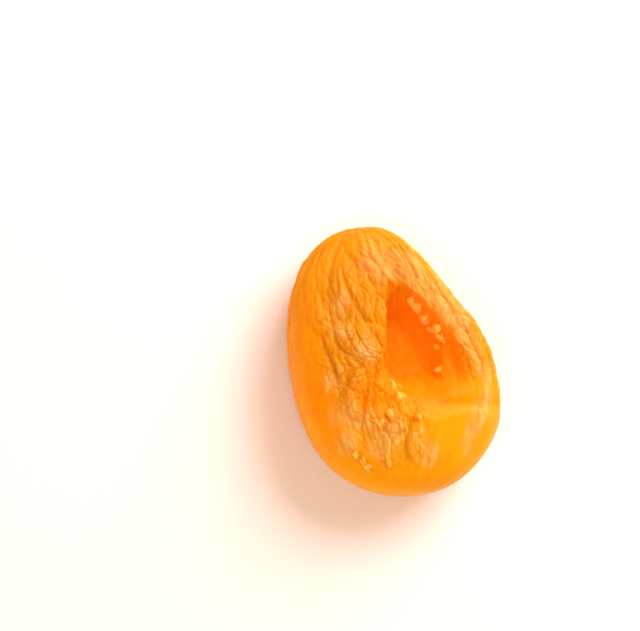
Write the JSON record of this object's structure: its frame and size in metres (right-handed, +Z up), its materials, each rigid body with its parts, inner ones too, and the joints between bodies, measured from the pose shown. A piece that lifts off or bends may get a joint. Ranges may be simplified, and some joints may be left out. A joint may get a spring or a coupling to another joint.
{
  "type": "dried apricot",
  "caption": "Whole pitted dried apricot, flattened and wrinkled, lying on its back with the hollow left by its stone facing up.",
  "frame": {"origin": "on the surface that the fruit lies on, below the middle of its bounding box", "axes": "+Z up, +Y along the fruit towards its stalk end, +X across it"},
  "size_m": [0.032, 0.042, 0.0145],
  "materials": {
    "apricot_flesh": "satin"
  },
  "bodies": {
    "root": {"dried_apricot": "apricot_flesh"}
  },
  "joints": []
}
